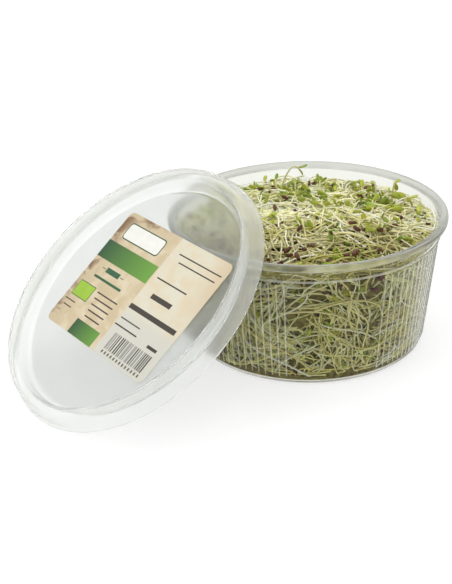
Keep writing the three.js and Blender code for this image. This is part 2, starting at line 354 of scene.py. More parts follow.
def grain_group():
    """Shared effect: a colour made lighter and darker by soft noise in the piece's own space."""
    name = "soft_grain"
    if name in bpy.data.node_groups:
        return bpy.data.node_groups[name]
    tree = bpy.data.node_groups.new(name, "ShaderNodeTree")
    for socket, way, kind in (("Colour", "INPUT", "Color"), ("Scale", "INPUT", "Float"),
                              ("Amount", "INPUT", "Float"), ("Colour", "OUTPUT", "Color"),
                              ("Noise", "OUTPUT", "Float")):
        tree.interface.new_socket(socket, in_out=way, socket_type="NodeSocket" + kind)
    enter = tree.nodes.new("NodeGroupInput").outputs
    place = tree.nodes.new("ShaderNodeTexCoord").outputs["Object"]
    texture = add_node(tree, "TexNoise", {"Vector": place, "Scale": enter["Scale"], "Detail": 4})
    noise = texture.outputs["Fac"]
    low, high = (add_node(tree, "Math", {0: 1.0, 1: enter["Amount"]}, operation=way).outputs[0]
                 for way in ("SUBTRACT", "ADD"))
    spread = add_node(tree, "MapRange", {
        "Value": noise, "From Min": 0.3, "From Max": 0.7, "To Min": low, "To Max": high})
    tinted = add_node(tree, "VectorMath", {0: enter["Colour"], "Scale": spread.outputs["Result"]},
                      operation="SCALE")
    leave = tree.nodes.new("NodeGroupOutput")
    set_inputs(tree, leave, {"Colour": tinted.outputs["Vector"], "Noise": noise})
    return tree


def grained(name, colour, grain, bump, values):
    """A material with soft grain (scale, amount) and relief (strength, metres), made once.

    Its colour is the one given, or the tint painted on the mesh when none is given.
    """
    if name in bpy.data.materials:
        return bpy.data.materials[name]
    material, tree, shader = new_material(name)
    if colour is None:
        colour = add_node(tree, "Attribute", {}, attribute_name="tint").outputs["Color"]
    soft = add_node(tree, "Group", {"Colour": colour, "Scale": grain[0], "Amount": grain[1]},
                    node_tree=grain_group())
    relief = add_node(tree, "Bump", {
        "Strength": bump[0], "Distance": bump[1], "Height": soft.outputs["Noise"]})
    set_inputs(tree, shader, {
        "Base Color": soft.outputs["Colour"], "Normal": relief.outputs["Normal"], **values})
    return material


def milky_plastic(name, colour, haze, clear, shine, index):
    return grained(name, colour, (60, 0.02), (0.02, 0.0003), {
        "Roughness": haze, "IOR": index, "Transmission Weight": clear, "Specular IOR Level": shine})


def living_tissue(name, roughness):
    """Moist plant tissue, coloured by the tint painted on each stem and leaf."""
    return grained(name, None, (900, 0.12), (0.3, 0.0001), {
        "Roughness": roughness, "Specular IOR Level": 0.4})


def heap_shade(name, colour):
    return grained(name, colour, (500, 0.6), (0.5, 0.0008), {
        "Roughness": 0.9, "Specular IOR Level": 0.05})


def leaf_tissue():
    return living_tissue("leaf_tissue", 0.38)


def seed_hull(settings):
    return grained("seed_hull", settings.hull_colour, (700, 0.5), (0.5, 0.0002), {"Roughness": 0.45})


def ink(name, colour, roughness, amount):
    return grained(name, colour, (300, amount), (0.5, 0.00002), {"Roughness": roughness})


# The tub's and the heap's forms, all in millimetres

def wall_radius(z):
    return BASE_RADIUS + (NECK_RADIUS - 0.4 - BASE_RADIUS) * z / STEP_HEIGHT


def inner_radius(z, wall=SOLID_WALL):
    straight = wall_radius(min(z, STEP_HEIGHT)) - wall
    return straight + 0.3 if z > STEP_HEIGHT else straight


def in_window(bearing):
    return any(abs((bearing - middle + 180) % 360 - 180) < WINDOW_WIDTH / 2 for middle in WINDOW_MIDDLES)


def heap_top(x, y):
    """Height of the heap: it falls to its edge, leans to the front and is a little uneven."""
    out = math.hypot(x, y) / HEAP_RADIUS
    uneven = 0.7 * math.sin(x / 8 + 1) * math.cos(y / 7) + 0.5 * math.sin(x / 4.3 - y / 5.1)
    return HEAP_MIDDLE - HEAP_FALL * out * out - 0.05 * y + uneven


def core_top(x, y):
    return heap_top(x, y) - CORE_COVER


def front_share(y):
    """0 from the middle of the heap to its back, and 1 at its front edge."""
    return clamped((-y - 8) / 34)


def edge_rise(x, y):
    """How much higher the loose stems lie next to the wall at the back, and lower at the front."""
    near = clamped((math.hypot(x, y) - 40) / 10)
    return near * (0.9 + 0.6 * max(0.0, y / 50)) - 1.8 * front_share(y)


def reach_radius(z, half):
    """How far from the axis a thing of this half width may lie behind the wall."""
    return inner_radius(z) - CLEARANCE - half - 0.1


def tub_profile(wall):
    """Half section of the tub, from the middle of its underside round to the middle of its floor."""
    thin = wall / MM
    outer = [
        (0, 0.5), (42.6, 0.5), (43.2, 0.3), (43.8, 0),
        *arc(BASE_RADIUS - CORNER_RADIUS, CORNER_RADIUS, CORNER_RADIUS, -90, 0, 6),
        *((wall_radius(z), z) for z in (3.2, 3.9, 46.9, 47.6, 47.9)),
        (NECK_RADIUS + 0.25, 48.15), (NECK_RADIUS + 0.35, 48.4),
        (NECK_RADIUS + 0.25, 48.75), (NECK_RADIUS, 49.0), (NECK_RADIUS + 0.05, 53.2),
        (NECK_RADIUS + 0.5, 53.55), (RIM_RADIUS - 0.7, 53.65),
        *arc(RIM_RADIUS - 0.7, 54.35, 0.7, -70, 0, 3),
        *arc(RIM_RADIUS - 1.1, TUB_HEIGHT - 1.1, 1.1, 0, 90, 4),
        *arc(RIM_RADIUS - 1.9, TUB_HEIGHT - 1.3, 1.3, 95, 180, 4),
    ]
    inner = [
        (inner_radius(50, thin) + 0.15, 53.6), (inner_radius(50, thin), 52.6),
        (inner_radius(50, thin), 49.0), (inner_radius(48, thin) + 0.1, 48.4),
        (inner_radius(47.6, thin), 47.6), (inner_radius(3.5, thin), 3.5),
        *arc(inner_radius(3, thin) - 2.0, FLOOR_TOP + 2.0, 2.0, -8, -90, 5),
        (0, FLOOR_TOP),
    ]
    return outer + inner


def raise_ribs(obj, proud):
    """Moves the wall's vertices outwards in narrow ridges, except in the smooth windows."""
    column = 360 / bpy.context.scene.sprout_tub.steps
    for vertex in obj.data.vertices:
        z = vertex.co.z / MM
        out = vertex.co.xy.length / MM
        if not (3.7 < z < 47.2 and abs(out - wall_radius(z)) < 0.05):
            continue
        bearing = math.degrees(math.atan2(vertex.co.x, -vertex.co.y)) % 360
        rib = round(bearing / RIB_PITCH) * RIB_PITCH
        off = abs(bearing - rib) / column
        if off < 1.5 and not in_window(rib):
            rise = proud if off < 0.5 else proud * 0.7
            vertex.co.xy *= 1 + rise / vertex.co.xy.length


class SPROUT_OT_tub(bpy.types.Operator):
    """Models the tub: a turned shell with upright ribs"""
    bl_idname = "sprout.tub"
    bl_label = "Tub"

    def execute(self, context):
        settings = context.scene.sprout_tub
        obj = turn_profile(tub_profile(settings.wall), settings.steps)
        raise_ribs(obj, settings.rib_proud)
        smooth(obj, 40)
        plain = milky_plastic("tub_plastic", settings.colour, settings.haze,
                              clear=1.0, shine=0.2, index=1.2)
        edge = milky_plastic("tub_edge_plastic", settings.edge_colour, settings.edge_haze,
                             clear=0.95, shine=0.35, index=1.27)
        crest = milky_plastic("tub_rib_plastic", settings.rib_colour, settings.edge_haze,
                              clear=0.74, shine=0.2, index=1.12)
        settle(obj, "tub_shell", (plain, edge, crest), "tub")
        self.mark_edges(obj, settings.rib_proud)
        return {"FINISHED"}

    def mark_edges(self, obj, proud):
        """Gives the lip a milkier plastic, and the step and the ribs' crests a whiter one."""
        for face in obj.data.polygons:
            z = face.center.z / MM
            out = face.center.xy.length / MM
            crest = 3.5 < z < 47 and out > wall_radius(z) + proud / MM * 0.5
            step = 47.8 < z < 48.9 and out > NECK_RADIUS - 0.35
            if crest or step:
                face.material_index = 2
            elif z > 53.5:
                face.material_index = 1


def lid_profile():
    """Half section of the lid, from the middle of the panel out over the bead and back underneath."""
    under = -PANEL_DEPTH - LID_WALL
    return [
        (0, -PANEL_DEPTH), (49.6, -PANEL_DEPTH), (49.9, -7.25), (50.7, -7.2), (51.0, -7.42), (51.9, -7.3),
        (52.5, -6.9), (52.9, -6.2), (53.15, -5.2), (53.8, -1.6), (54.0, -0.9), (54.4, -0.4), (55.0, -0.08),
        (55.7, 0), (56.7, 0), (57.4, -0.1), (58.0, -0.42), (58.4, -0.95), (58.6, -1.7), (59.3, -4.6),
        (59.95, -6.9), (60.3, -7.15), (SKIRT_RADIUS, -7.5), (SKIRT_RADIUS, -8.1), (60.4, -SKIRT_DEPTH),
        (59.9, -SKIRT_DEPTH), (59.6, -8.1), (59.3, -7.1), (58.6, -4.6), (57.9, -2.0), (57.4, -1.2),
        (56.7, -0.8), (55.7, -0.8), (55.0, -1.15), (54.6, -1.9), (53.95, -5.6), (53.7, -7.2),
        (53.1, -8.0), (52.2, under), (0, under),
    ]


def lid_matrix():
    """Where the lid rests: its skirt's lowest edge on the floor, its panel against the tub's rim."""
    sin = math.sin(LID_TILT)
    cos = math.cos(LID_TILT)
    lift = RIM_RADIUS * sin + TUB_HEIGHT * cos + PANEL_DEPTH + LID_WALL + REST_GAP
    climb = (SKIRT_DEPTH * cos + SKIRT_RADIUS * sin - lift * cos) / sin
    turn = Matrix.Rotation(LID_TURN, 4, "Z") @ Matrix.Rotation(LID_TILT, 4, "X")
    return turn @ Matrix.Translation(Vector((LID_SLIDE, climb, lift)) * MM)


class SPROUT_OT_lid(bpy.types.Operator):
    """Models the lid: a turned shell with a bead, a skirt and a sunk panel, leaning on the rim"""
    bl_idname = "sprout.lid"
    bl_label = "Lid"

    def execute(self, context):
        settings = context.scene.sprout_lid
        obj = turn_profile(lid_profile(), settings.steps)
        obj.matrix_world = lid_matrix()
        apply_place(obj)
        smooth(obj, 40)
        panel = milky_plastic("lid_panel_plastic", settings.panel_colour, settings.haze,
                              clear=0.88, shine=0.3, index=1.3)
        ring = milky_plastic("lid_ring_plastic", settings.ring_colour, settings.ring_haze,
                             clear=0.82, shine=0.3, index=1.16)
        settle(obj, "lid_shell", (panel, ring), "lid")
        turned = lid_matrix().inverted()
        for face in obj.data.polygons:
            if (turned @ face.center).xy.length > 51 * MM:
                face.material_index = 1
        return {"FINISHED"}


# Label

def label_matrix(level):
    turn = Matrix.Rotation(LABEL_TURN, 4, "Z")
    shift = Matrix.Translation(Vector((0, LABEL_SHIFT, -PANEL_DEPTH + level)) * MM)
    return lid_matrix() @ shift @ turn


def plate(x, y, width, height, level=PRINT_LEVEL, corner=0, thick=PRINT_THICK):
    """A thin plate on the label: middle, size, level over the panel, corner radius, thickness in mm."""
    deselect_all()
    bpy.ops.mesh.primitive_plane_add(size=1, location=(x * MM, y * MM, 0))
    obj = bpy.context.object
    obj.scale = (width * MM, height * MM, 1)
    apply_place(obj)
    bpy.ops.object.mode_set(mode="EDIT")
    bpy.ops.mesh.select_all(action="SELECT")
    if corner:
        bpy.ops.mesh.bevel(offset=corner * MM, segments=5, affect="VERTICES")
        bpy.ops.mesh.select_all(action="SELECT")
    bpy.ops.mesh.extrude_region_move(TRANSFORM_OT_translate={"value": (0, 0, thick * MM)})
    close_edit()
    lay_uv(obj)
    obj.matrix_world = label_matrix(level)
    apply_place(obj)
    return obj


def lay_uv(obj):
    """UV map over the whole label as seen from its face, with (0, 0) at its lower left corner."""
    layer = obj.data.uv_layers.active or obj.data.uv_layers.new(name="label")
    for loop in obj.data.loops:
        place = obj.data.vertices[loop.vertex_index].co
        layer.data[loop.index].uv = (place.x / MM / LABEL_WIDTH + 0.5, place.y / MM / LABEL_HEIGHT + 0.5)


def split_uv(tree):
    """The label's UV place, and its parts across and up the label."""
    place = tree.nodes.new("ShaderNodeUVMap").outputs["UV"]
    split = add_node(tree, "SeparateXYZ", {"Vector": place})
    return place, split.outputs["X"], split.outputs["Y"]


def blend(tree, factor, one, two):
    """A colour between two, by a factor from 0 to 1."""
    values = {"Factor": factor, "A": one, "B": two}
    return add_node(tree, "Mix", values, data_type="RGBA").outputs["Result"]


def paper_material(settings):
    """Tan kraft on the left, cream on the right, white at the lower right, with darker worn edges."""
    material, tree, shader = new_material("label_paper")
    place, across, up = split_uv(tree)
    noise = {"Vector": place, "Scale": 9, "Detail": 8, "Distortion": 0.7}
    fibre = add_node(tree, "TexNoise", noise).outputs["Fac"]

    def ramp(value, low, high):
        limits = {"Value": value, "From Min": low, "From Max": high}
        return add_node(tree, "MapRange", limits, interpolation_type="SMOOTHSTEP").outputs["Result"]

    def multiply(one, two):
        return add_node(tree, "Math", {0: one, 1: two}, operation="MULTIPLY").outputs[0]

    paper = blend(tree, ramp(across, 0.515, 0.525), settings.kraft, settings.cream)
    mottled = blend(tree, ramp(fibre, 0.35, 0.7), paper, (0.68, 0.585, 0.41))
    lower_right = multiply(ramp(across, 0.515, 0.525), ramp(up, 0.42, 0.30))
    white = blend(tree, lower_right, mottled, (0.60, 0.59, 0.51))
    edge_right = multiply(ramp(across, 0.80, 1.0), ramp(up, 0.35, 0.8))
    warmed = blend(tree, edge_right, white, (0.64, 0.52, 0.35))
    worn = ramp(fibre, 0.42, 0.62)
    browned = blend(tree, multiply(ramp(across, 0.16, 0.0), worn), warmed, (0.20, 0.10, 0.04))
    edge_top = multiply(ramp(up, 0.90, 1.0), ramp(across, 0.55, 0.2))
    aged = blend(tree, multiply(edge_top, worn), browned, (0.24, 0.13, 0.05))
    relief = add_node(tree, "Bump", {"Strength": 0.15, "Distance": 0.00005, "Height": fibre})
    set_inputs(tree, shader, {"Base Color": aged, "Roughness": 0.42, "Coat Weight": 0.15,
                              "Normal": relief.outputs["Normal"]})
    return material


def band_material(name, settings, start, end):
    """Dark green that fades to bright green between two places across the label."""
    material, tree, shader = new_material(name)
    across = split_uv(tree)[1]
    fade = add_node(tree, "MapRange", {"Value": across, "From Min": start, "From Max": end})
    green = blend(tree, fade.outputs["Result"], settings.dark_green, settings.bright_green)
    set_inputs(tree, shader, {"Base Color": green, "Roughness": 0.38})
    return material


class SPROUT_OT_label(bpy.types.Operator):
    """Models the label as a printed sheet with plain generic marks"""
    bl_idname = "sprout.label"
    bl_label = "Label"

    def execute(self, context):
        settings = context.scene.sprout_label
        sheet = plate(0, 0, LABEL_WIDTH, LABEL_HEIGHT, LABEL_LIFT, LABEL_CORNER, LABEL_THICK)
        settle(sheet, "label_sheet", paper_material(settings), "label")
        for name, material, rows in (*self.fields(settings), *self.bars(), *self.rules()):
            settle(join_all([plate(*row) for row in rows]), name, material, None)
        return {"FINISHED"}

    def fields(self, settings):
        """The fields of colour and the blank badge."""
        return (
            ("label_band", band_material("label_band_green", settings, 0.0, 0.5),
             [(-18.3, 9.2, 38.4, 8.6)]),
            ("label_foot", band_material("label_foot_green", settings, 0.24, 0.5),
             [(-10.5, -24.9, 18.2, 7.0)]),
            ("label_outlines", ink("label_outline_green", settings.dark_green, 0.4, 0.05),
             [(-18.4, 20.4, 27.4, 8.2, PRINT_LEVEL, 1.8), (-28.6, -10.8, 12.0, 7.4)]),
            ("label_badge", ink("label_badge_white", (0.80, 0.80, 0.74), 0.4, 0.03),
             [(-18.4, 20.4, 26.4, 7.2, UPPER_PRINT, 1.5)]),
            ("label_lime_square", ink("label_lime", (0.30, 0.50, 0.03), 0.4, 0.04),
             [(-28.6, -10.8, 11.4, 6.8, UPPER_PRINT)]),
        )

    def bars(self):
        """A row of black and grey bars of uneven width, with a row of short strokes under it."""
        run = Run(BAR_SEED)
        black, grey = [], []
        x = 6.0
        while x < 32.5:
            wide = run.next() < 0.2
            width = run.between(1.2, 2.0) if wide else run.between(0.3, 0.9)
            (grey if wide else black).append((x + width / 2, -21.4, width, 7.6))
            x += width + run.between(0.5, 1.1)
        black += [(6.6 + 2.2 * i, -26.6, 0.8, 1.3) for i in range(13)]
        return (("label_grey_bars", ink("label_grey", (0.32, 0.32, 0.30), 0.45, 0.05), grey),
                ("label_bars", ink("label_ink", (0.03, 0.028, 0.025), 0.45, 0.1), black))

    def rules(self):
        """Plain ruled lines, heavy and fine, where the print stood."""
        heavy = [(16.0, 2.2, 14.0, 2.2), (18.4, -5.4, 33.0, 2.2)]
        fine = [(20.8, 22.2, 29.0, 0.55), (21.6, 19.0, 25.0, 0.55), (15.0, 9.6, 21.0, 0.6),
                (9.4, -11.3, 14.0, 0.5), (9.8, -14.6, 16.0, 0.6), (29.8, -15.2, 6.6, 1.3),
                (-32.0, -17.0, 8.0, 0.5), (-31.2, -19.6, 6.0, 0.5)]
        fine += [(-12.6 + 0.3 * i, -8.2 - 2.7 * i, 15.5 - i, 0.6) for i in range(5)]
        leafy = [(-20.3, 1.6, 10.0, 2.4), (-19.3, -2.9, 21.0, 1.1), (-27.4, 1.6, 2.6, 0.3),
                 (-13.2, 1.6, 2.6, 0.3)]
        brown = ink("label_rule_brown", (0.045, 0.032, 0.022), 0.45, 0.1)
        green = ink("label_rule_green", (0.02, 0.10, 0.04), 0.45, 0.1)
        return (("label_heavy_rules", brown, heavy), ("label_fine_rules", brown, fine),
                ("label_green_rules", green, leafy))


# Sprouts: routes of stems, all in millimetres

def over_heap(start, way, length, steps, half, lift, loose=True):
    """Points of a stem over the heap, from its heading and its height above the core along its way."""
    x, y = start
    points = []
    for i in range(steps + 1):
        t = i / steps
        far = max(1, math.hypot(x, y) / reach_radius(HEAP_EDGE, half))
        x, y = x / far, y / far
        points.append((x, y, core_top(x, y) + lift(t) + (edge_rise(x, y) if loose else 0)))
        x += math.cos(way(t)) * length / steps
        y += math.sin(way(t)) * length / steps
    return points


def top_route(run, reach, half):
    """A stem that wanders over the heap and dips into it, as on the solid heap."""
    start = run.spot(47)
    heading = run.bearing()
    bend = (run.next() - 0.5) * 2.4
    length = 19 + 11 * run.next()
    rise = 1.0 + 4.6 * run.next()
    return over_heap(start, lambda t: heading + bend * t, length, CAD_STEPS, half,
                     lambda t: -1.5 + (rise + 1.5) * math.sin(math.pi * reach * t), loose=False)


def random_way(run):
    bearing = run.bearing()
    slope = run.next() * 1.4 - 0.7
    return Vector((*polar(math.cos(slope), bearing), math.sin(slope)))


def side_route(run):
    """A stem pressed against the inside of the wall, as on the solid heap."""
    start = run.bearing()
    low = 4 + 36 * run.next()
    turn = (0.25 + 0.5 * run.next()) * run.side()
    climb = (run.next() - 0.5) * 30
    sag = (run.next() - 0.5) * 10
    points = []
    for i in range(CAD_STEPS + 1):
        t = i / CAD_STEPS
        z = min(max(low + climb * t + sag * math.sin(math.pi * t), 3.5), 45)
        tuck = 2.0 * max(0, abs(2 * t - 1) - 0.7) / 0.3
        points.append((*polar(reach_radius(z, 0.7) - tuck, start + turn * t), z))
    return points


def top_clump(run):
    """Where a bundle of stems starts on top, which way it goes and how it bends."""
    return *run.spot(52), run.bearing(), run.between(-2.2, 2.2)


def loose_top_route(run, clump):
    """A finer stem in the tangle on top, with a wave in it and its ends at any depth."""
    x, y, heading, bend = clump
    start = (x + run.between(-7, 7), y + run.between(-7, 7))
    heading += run.between(-0.45, 0.45)
    bend += run.between(-0.9, 0.9)
    wave = run.between(-1.1, 1.1)
    length = run.between(20, 48)
    low, high = run.between(-1.2, 3.0), run.between(-1.2, 3.6)
    rise = run.between(0.2, 1.0) ** 2 * 3.4
    return over_heap(start, lambda t: heading + bend * t + wave * math.sin(7 * t), length, LOOSE_STEPS,
                     0.7, lambda t: low + (high - low) * t + rise * math.sin(math.pi * t))


def loop_route(run):
    """A long stem that curls over the others."""
    x, y, heading, _ = top_clump(run)
    bend = run.between(2.2, 4.2) * run.side()
    length = run.between(38, 62)
    rise = run.between(2.6, 3.8)
    return over_heap((x, y), lambda t: heading + bend * t, length, LOOP_STEPS, 0.8,
                     lambda t: -0.5 + rise * math.sin(math.pi * t) ** 0.5)


def riser_route(run):
    """A short stem that leans up out of the heap, at its back or right."""
    x, y = polar(46 * math.sqrt(run.next()), math.radians(run.between(-35, 170)))
    over_x, over_y = polar(run.between(1, 6), run.bearing())
    rise = run.between(4.5, 8.0)
    return [(x + over_x * t ** 1.6, y + over_y * t ** 1.6, core_top(x, y) + rise * math.sin(1.75 * t))
            for t in (i / 8 for i in range(9))]


def side_clump(run):
    """Where a bundle of stems starts behind the wall, and how far it goes round, up and out of line."""
    start = run.bearing()
    low = run.between(-9, 50)
    steep = run.next() < 0.5
    turn = run.between(-0.35, 0.35) if steep else run.between(0.2, 0.7) * run.side()
    climb = run.between(-38, 38) if steep else run.between(-18, 18)
    return start, low, turn, climb, run.between(-7, 7)


def loose_side_route(run, clump):
    """A finer stem behind the wall: a long waving arc at any depth behind the plastic."""
    spreads = (0.14, 6, 0.12, 9, 2.5)
    start, low, turn, climb, sag = (value + run.between(-s, s) for value, s in zip(clump, spreads))
    wave = run.between(-0.09, 0.09)
    depth = run.next() ** 1.2 * 4.2
    low_end = run.between(1.9, 5.0)
    points = []
    for i in range(LOOSE_STEPS + 1):
        t = i / LOOSE_STEPS
        angle = start + turn * t + wave * math.sin(7 * t)
        above = low + climb * t + sag * math.sin(math.pi * t) + 28 * wave * math.cos(6 * t) - low_end
        rim = heap_top(*polar(52, angle)) - 0.8
        z = min(low_end + (above + math.hypot(above, 3)) / 2, rim)
        tuck = 2.4 * max(0, abs(2 * t - 1) - 0.75) / 0.25
        points.append((*polar(reach_radius(z, 0.55) - depth - tuck, angle), z))
    return points


def standing_route(x, y, top, lean, bearing):
    """The few points of a standing sprout's stem, out of the core and over to its side."""
    over_x, over_y = polar(lean, math.radians(bearing))
    low = core_top(x, y) - 4
    shape = ((0, 0), (0.1, 0.4), (0.35, 0.75), (0.75, 1), (1.15, 0.96))
    return [(x + over_x * away, y + over_y * away, low + (top - low) * up) for away, up in shape]


def smooth_points(points, count):
    """More points on the smooth curve through a few, with its ends kept."""
    rows = np.array(points)
    padded = np.vstack([2 * rows[0] - rows[1], rows, 2 * rows[-1] - rows[-2]])
    result = []
    for i in range(count + 1):
        place = i / count * (len(rows) - 1)
        k = min(int(place), len(rows) - 2)
        t = place - k
        a, b, c, d = padded[k:k + 4]
        result.append(0.5 * (2 * b + (c - a) * t + (2 * a - 5 * b + 4 * c - d) * t * t
                             + (3 * b - a - 3 * c + d) * t ** 3))
    return result


# Sprouts: meshes

def stems_mesh(stems, sides=4):
    """One mesh of tapered stems. Each stem is its points in mm, radius in mm, and its two tints."""
    deselect_all()
    curve = bpy.data.curves.new("stems", "CURVE")
    curve.dimensions = "3D"
    curve.bevel_depth = MM
    curve.bevel_resolution = (sides - 4) // 2
    curve.use_fill_caps = True
    curve.twist_mode = "MINIMUM"
    for points, radius, _, _ in stems:
        spline = curve.splines.new("POLY")
        spline.points.add(len(points) - 1)
        last = len(points) - 1
        for i, (point, place) in enumerate(zip(spline.points, points)):
            point.co = (*[float(c) * MM for c in place], 1)
            tip = min(1.0, 0.35 + 5.0 * i / last)
            point.radius = radius * tip
    obj = bpy.data.objects.new("stems", curve)
    bpy.context.collection.objects.link(obj)
    choose(obj)
    bpy.ops.object.convert(target="MESH")
    obj = bpy.context.object
    caps = [np.tile(tint, (sides, 1)) for _, _, root, head in reversed(stems) for tint in (head, root)]
    tubes = []
    for points, _, root, head in stems:
        along = np.repeat(np.linspace(0, 1, len(points)), sides)[:, None]
        tubes.append(np.array(root) * (1 - along) + np.array(head) * along)
    tints = np.vstack(caps + tubes)
    if len(obj.data.vertices) != len(tints):
        raise RuntimeError(f"the stems have {len(obj.data.vertices)} vertices, not {len(tints)}")
    paint(obj.data, tints)
    bpy.ops.object.mode_set(mode="EDIT")
    bpy.ops.mesh.select_all(action="SELECT")
    bpy.ops.mesh.remove_doubles(threshold=0.001 * MM)
    close_edit()
    obj.data.shade_smooth()
    return obj


def paint(mesh, tints):
    layer = mesh.color_attributes.new("tint", "FLOAT_COLOR", "POINT")
    layer.data.foreach_set("color", np.hstack([tints, np.ones((len(tints), 1))]).ravel())


def base_seed(segments, rings, shape):
    """Points and faces of one seed leaf or hull, to be copied into place."""
    deselect_all()
    bpy.ops.mesh.primitive_uv_sphere_add(segments=segments, ring_count=rings, radius=1)
    obj = bpy.context.object
    for vertex in obj.data.vertices:
        vertex.co = shape(vertex.co)
    points = np.array([vertex.co[:] for vertex in obj.data.vertices])
    faces = [tuple(face.vertices) for face in obj.data.polygons]
    bpy.data.objects.remove(obj)
    return points, faces


def leaf_shape(place):
    """Length along Z, flat in Y: a narrow foot, a round tip and a cupped blade."""
    z = place.z
    width = 0.62 * (1 - 0.35 * (0.5 - 0.5 * z)) * (1.0 if z > -0.6 else 0.7)
    cup = 0.16 * z * z + 0.12 * (place.x * width) ** 2
    return Vector((place.x * width, place.y * 0.2 + cup, z))


def hull_shape(place):
    """A small kidney with its length along Z."""
    notch = 0.16 * max(0, 1 - (place.z / 0.5) ** 2) * (1 if place.x > 0.5 else 0)
    return Vector((place.x * 0.58 - notch, place.y * 0.46, place.z))


def along_matrix(middle, along, face, size):
    """Places a seed shape: its length along one way, its flat side to another."""
    forward = Vector(along).normalized()
    across = Vector(face).cross(forward)
    if across.length < 1e-4:
        across = forward.orthogonal()
    across.normalize()
    up = forward.cross(across)
    turn = Matrix((across, up, forward)).transposed()
    return np.array(middle), np.array(turn) * size


def copies_mesh(base, places, tints=None):
    """One mesh of many copies of a base shape. A place is a middle in mm and a turn with its size."""
    points, faces = base
    every = np.vstack([middle + points @ turn.T for middle, turn in places]) * MM
    count = len(points)
    all_faces = [tuple(v + k * count for v in face) for k in range(len(places)) for face in faces]
    mesh = bpy.data.meshes.new("copies")
    mesh.from_pydata(every.tolist(), [], all_faces)
    if tints:
        low = points[:, 2].min()
        along = ((points[:, 2] - low) / (points[:, 2].max() - low))[:, None]
        rows = [np.array(foot) * (1 - along) + np.array(tip) * along for foot, tip in tints]
        paint(mesh, np.vstack(rows))
    mesh.shade_smooth()
    obj = bpy.data.objects.new("copies", mesh)
    bpy.context.collection.objects.link(obj)
    return obj


def leaf_pair(head, way, side, size, spread):
    """Places of two seed leaves that open like a book at the head of a stem."""
    forward = Vector(way).normalized()
    hinge = forward.cross(Vector(side))
    if hinge.length < 1e-3:
        hinge = forward.orthogonal()
    hinge.normalize()
    opened = hinge.cross(forward)
    places = []
    for angle in (spread, -spread):
        along = forward * math.cos(angle) + opened * math.sin(angle)
        face = (opened * math.cos(angle) - forward * math.sin(angle)) * (1 if angle > 0 else -1)
        middle = Vector(head) + along * (size * 0.85) + opened * math.copysign(0.15, angle)
        places.append(along_matrix(middle, along, face, size))
    return places


def mixed(one, two, share):
    return tuple(a * (1 - share) + b * share for a, b in zip(one, two))


class Harvest:
    """Gathers stems, leaves and hulls with their tints before they are made into pieces."""

    def __init__(self, settings, seed, gain_and_painted_light=(1, 1, 1), front_shade=0):
        self.settings = settings
        self.run = Run(seed)
        # Every stem's tint is multiplied by this gain; for the stems behind the wall it is painted light.
        self.gain_and_painted_light = gain_and_painted_light
        self.front_shade = front_shade
        self.stems = []
        self.leaves = []
        self.leaf_tints = []
        self.hulls = []

    def add_stem(self, points, radius, greenness, paleness=0):
        """Tints a stem, brightened by the harvest's gain (painted light for the stems behind the wall) and
        darkened by painted shade towards the heap's front unless it is pale; points that touch go.
        """
        light = self.run.between(0.7, 1.12)
        warm = max(paleness, self.run.next() ** 2)
        pale = mixed(self.settings.stem_colour, PALEST_STEM, warm)
        middle_y = points[len(points) // 2][1]
        # Painted shade: darker towards the heap's front, less on pale stems, and the gain falls away with
        # it.
        shade = self.front_shade * (1 - 0.85 * paleness) * front_share(middle_y) ** 0.6
        pale = mixed(pale, self.settings.shaded_stem_colour, shade)
        gains_and_painted_light = mixed(self.gain_and_painted_light, (1, 1, 1), shade)
        root = tuple(min(0.97, c * light * gain_and_painted_light) for c, gain_and_painted_light in zip(pale, gains_and_painted_light))
        head = mixed(root, self.settings.stem_green, greenness)
        kept = [Vector(points[0])]
        for point in points[1:]:
            if (Vector(point) - kept[-1]).length > 0.05:
                kept.append(Vector(point))
        if len(kept) > 3:
            self.stems.append((kept, radius, root, head))

    def add_leaves(self, head, way, size):
        run = self.run
        side = random_way(run)
        spread = run.between(0.15, 0.95)
        self.leaves += leaf_pair(head, way, side, size, spread)
        ripe = run.next() ** 0.6
        light = run.between(0.75, 1.2)
        tip = tuple(c * light for c in mixed(self.settings.leaf_yellow, self.settings.leaf_green, ripe))
        foot = mixed(tip, self.settings.leaf_yellow, 0.5)
        self.leaf_tints += [(foot, tip), (foot, tip)]

    def add_hull(self, middle, along, face):
        size = self.run.between(1.3, 1.95)
        self.hulls.append(along_matrix(middle, along, face, size))

    def settle_heap(self, part):
        """Makes what is gathered into the stems, leaves and hulls of one part of the heap."""
        stems = stems_mesh(self.stems)
        tissue = living_tissue("sprout_tissue", 0.34)
        settle(stems, f"heap_{part}_stems", tissue, "sprout_heap")
        leaves = copies_mesh(base_seed(8, 6, leaf_shape), self.leaves, self.leaf_tints)
        settle(leaves, f"heap_{part}_leaves", leaf_tissue(), "sprout_heap")
        hulls = copies_mesh(base_seed(10, 8, hull_shape), self.hulls)
        settle(hulls, f"heap_{part}_hulls", seed_hull(self.settings), "sprout_heap")


def stem_end(points):
    """The head of a stem and the way that it points."""
    return Vector(points[-1]), Vector(points[-1]) - Vector(points[-3])


